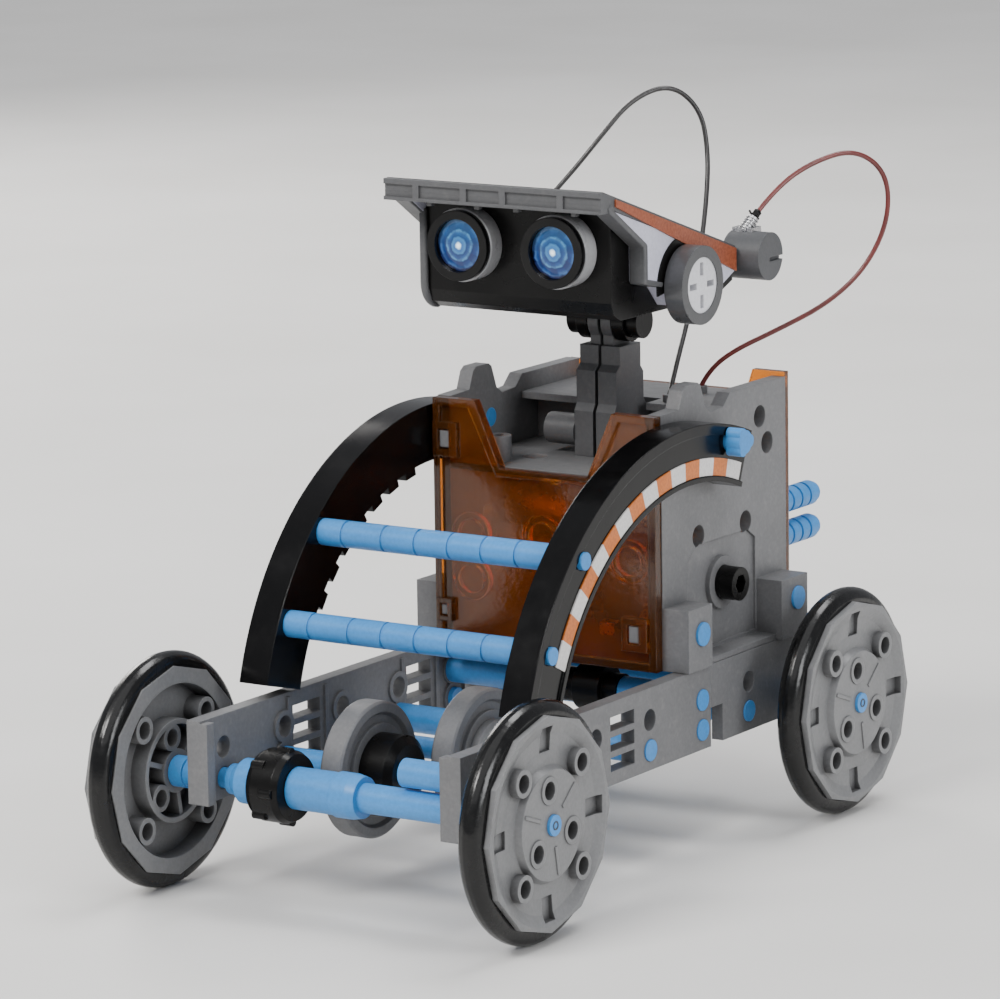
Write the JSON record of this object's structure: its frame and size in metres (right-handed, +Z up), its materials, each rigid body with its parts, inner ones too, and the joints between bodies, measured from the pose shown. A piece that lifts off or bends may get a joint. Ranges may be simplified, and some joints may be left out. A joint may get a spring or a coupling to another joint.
{
  "type": "solar robot kit",
  "caption": "Four-wheeled toy robot with a tilting solar-panel head, a see-through gearbox, swinging curved arms and peg-built rails.",
  "frame": {"origin": "on the ground under the middle of the wheelbase and of the track, which is the bottom centre of the object's box", "axes": "+Z up, +Y to the rear, -Y the way the head looks, +X the robot's left-to-right across the axles"},
  "size_m": [0.092, 0.1586, 0.1397],
  "materials": {
    "grey_plastic": "moulded satin ABS, mid grey",
    "wheel_grey": "moulded grey ABS with a soft shine",
    "blue_plastic": "sky blue moulded plastic",
    "black_gloss": "gloss black moulded plastic",
    "black_plastic": "black moulded plastic",
    "orange_clear": "clear orange moulded plastic",
    "tyre_rubber": "glossy black rubber ring",
    "soft_grey": "grey soft tyre",
    "white_plastic": "white moulded plastic",
    "gear_white": "natural nylon gear",
    "steel": "plated steel",
    "solar_dark": "dark solar cell under resin",
    "panel_white": "pale glossy label stock",
    "stripe_label": "printed orange and white strip",
    "lens_blue": "clear blue lens over rings",
    "wire_black": "black wire sleeve",
    "wire_red": "red wire sleeve"
  },
  "bodies": {
    "root": {"rail_right": "grey_plastic", "rail_left": "grey_plastic", "rear_beams": "grey_plastic", "cross_rods": "blue_plastic", "rod_spacers": "blue_plastic", "rod_drum": "black_plastic", "blue_pegs": "blue_plastic", "gearbox_right": "grey_plastic", "gearbox_left": "grey_plastic", "gearbox_decks": "grey_plastic", "gearbox_roof": "grey_plastic", "front_cover": "orange_clear", "rear_cover": "orange_clear", "tail_pegs": "blue_plastic", "motor_can": "steel", "motor_saddle": "grey_plastic", "neck": "grey_plastic", "pivot_knobs": "blue_plastic", "wire_black": "wire_black", "wire_red": "wire_red"},
    "motor_rotor": {"motor_pinion": "gear_white"},
    "middle": {"middle_gear": "gear_white"},
    "output": {"output_shaft": "black_plastic"},
    "transfer": {"transfer_gear": "gear_white"},
    "rear_wheels": {"rear_axle": "blue_plastic", "rear_sleeves": "blue_plastic", "rear_axle_gear": "gear_white", "rear_discs": "wheel_grey", "rear_tyres": "tyre_rubber"},
    "front_wheels": {"front_axle": "blue_plastic", "front_sleeves": "blue_plastic", "front_drum": "black_plastic", "front_tube": "blue_plastic", "front_discs": "wheel_grey", "front_tyres": "tyre_rubber"},
    "roller_front": {"roller_front_rim": "grey_plastic", "roller_front_drum": "black_plastic"},
    "roller_rear": {"roller_rear_rim": "grey_plastic", "roller_rear_drum": "grey_plastic"},
    "arms": {"arch_right": "black_gloss", "arch_left": "black_gloss", "arch_stripes": "stripe_label", "arm_tubes": "blue_plastic", "tube_pins": "blue_plastic"},
    "head": {"head_clamp": "black_plastic", "tilt_pin": "grey_plastic", "head_frame": "grey_plastic", "solar_cell": "solar_dark", "face_housing": "black_plastic", "side_panels": "panel_white", "head_stripes": "stripe_label", "eye_barrels": "white_plastic", "eye_bezels": "black_gloss", "eye_lenses": "lens_blue", "head_drums": "grey_plastic", "terminals": "steel"},
    "ear_right": {"ear_tyre_right": "soft_grey", "ear_hub_right": "white_plastic"},
    "ear_left": {"ear_tyre_left": "soft_grey", "ear_hub_left": "white_plastic"}
  },
  "joints": [
    {"name": "rear_axle_spin", "type": "hinge", "parent": "root", "child": "rear_wheels", "pos_m": [0, 0.056, 0.0225], "axis": [1, 0, 0], "continuous": true},
    {"name": "front_axle_spin", "type": "hinge", "parent": "root", "child": "front_wheels", "pos_m": [0, -0.056, 0.0225], "axis": [1, 0, 0], "continuous": true},
    {"name": "transfer_spin", "type": "hinge", "parent": "root", "child": "transfer", "pos_m": [0, 0.04843, 0.03705], "axis": [1, 0, 0], "continuous": true},
    {"name": "output_spin", "type": "hinge", "parent": "root", "child": "output", "pos_m": [0, 0.0365, 0.0483], "axis": [1, 0, 0], "continuous": true},
    {"name": "middle_spin", "type": "hinge", "parent": "root", "child": "middle", "pos_m": [0, 0.04845, 0.0552], "axis": [1, 0, 0], "continuous": true},
    {"name": "motor_spin", "type": "hinge", "parent": "root", "child": "motor_rotor", "pos_m": [0, 0.03702, 0.0618], "axis": [1, 0, 0], "continuous": true},
    {"name": "roller_front_spin", "type": "hinge", "parent": "root", "child": "roller_front", "pos_m": [0, -0.0368, 0.0225], "axis": [1, 0, 0], "continuous": true},
    {"name": "roller_rear_spin", "type": "hinge", "parent": "root", "child": "roller_rear", "pos_m": [0, -0.0176, 0.0225], "axis": [1, 0, 0], "continuous": true},
    {"name": "arm_swing", "type": "hinge", "parent": "root", "child": "arms", "pos_m": [0, 0.029, 0.078], "axis": [-1, 0, 0], "range_deg": [0, 45]},
    {"name": "head_tilt", "type": "hinge", "parent": "root", "child": "head", "pos_m": [0, 0.0375, 0.098], "axis": [-1, 0, 0], "range_deg": [-20, 20], "deforming": ["wire_black", "wire_red"]},
    {"name": "ear_right_spin", "type": "hinge", "parent": "head", "child": "ear_right", "pos_m": [0, 0.025, 0.1084], "axis": [1, 0, 0], "continuous": true},
    {"name": "ear_left_spin", "type": "hinge", "parent": "head", "child": "ear_left", "pos_m": [0, 0.025, 0.1084], "axis": [1, 0, 0], "continuous": true}
  ],
  "couplings": [
    {"joint": "transfer_spin", "follows": "rear_axle_spin", "ratio": -0.64},
    {"joint": "output_spin", "follows": "rear_axle_spin", "ratio": 1},
    {"joint": "middle_spin", "follows": "rear_axle_spin", "ratio": -3.6},
    {"joint": "motor_spin", "follows": "rear_axle_spin", "ratio": 12.24}
  ]
}
